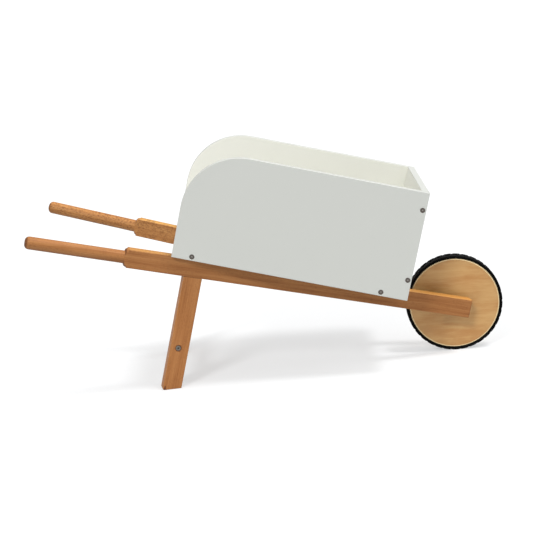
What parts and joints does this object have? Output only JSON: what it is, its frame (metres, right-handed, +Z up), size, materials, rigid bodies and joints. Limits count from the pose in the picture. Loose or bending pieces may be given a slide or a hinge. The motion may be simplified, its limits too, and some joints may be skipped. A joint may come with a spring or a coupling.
{
  "type": "toy wheelbarrow",
  "caption": "Child's wheelbarrow: an open-backed painted tray on splayed wooden shafts with turned handles, standing on legs and on a tyred disc wheel that turns on its axle.",
  "frame": {"origin": "on the ground, on the centre plane, midway between the ends of the handles and the front of the tyre", "axes": "+X forward towards the wheel, +Y to the user's left, +Z up; the wheel's axle lies along Y"},
  "size_m": [0.7596, 0.3428, 0.3683],
  "materials": {
    "painted_board": "satin off-white paint on board",
    "beech": "oiled beech, fine grain and short flecks",
    "dowel_beech": "plain beech",
    "birch_plywood": "lacquered birch plywood",
    "tyre_rubber": "moulded black rubber tread",
    "nylon": "natural nylon",
    "axle_steel": "bright drawn steel",
    "panel_screw_metal": "dark zinc plate",
    "leg_screw_metal": "bright zinc plate"
  },
  "bodies": {
    "frame": {"right_side_panel": "painted_board", "left_side_panel": "painted_board", "front_panel": "painted_board", "floor_panel": "painted_board", "right_shaft": "beech", "left_shaft": "beech", "right_leg": "beech", "left_leg": "beech", "leg_crossbar": "beech", "right_leg_dowels": "dowel_beech", "left_leg_dowels": "dowel_beech", "right_spacer": "nylon", "left_spacer": "nylon", "axle": "axle_steel", "right_panel_screws": "panel_screw_metal", "left_panel_screws": "panel_screw_metal", "floor_screws": "panel_screw_metal", "right_crossbar_screw": "leg_screw_metal", "left_crossbar_screw": "leg_screw_metal"},
    "wheel": {"wheel_disc": "birch_plywood", "tyre": "tyre_rubber", "right_hub_bush": "nylon", "left_hub_bush": "nylon"}
  },
  "joints": [
    {"name": "wheel_spin", "type": "hinge", "parent": "frame", "child": "wheel", "pos_m": [0.29984, 0, 0.08], "axis": [0, 1, 0], "continuous": true}
  ]
}
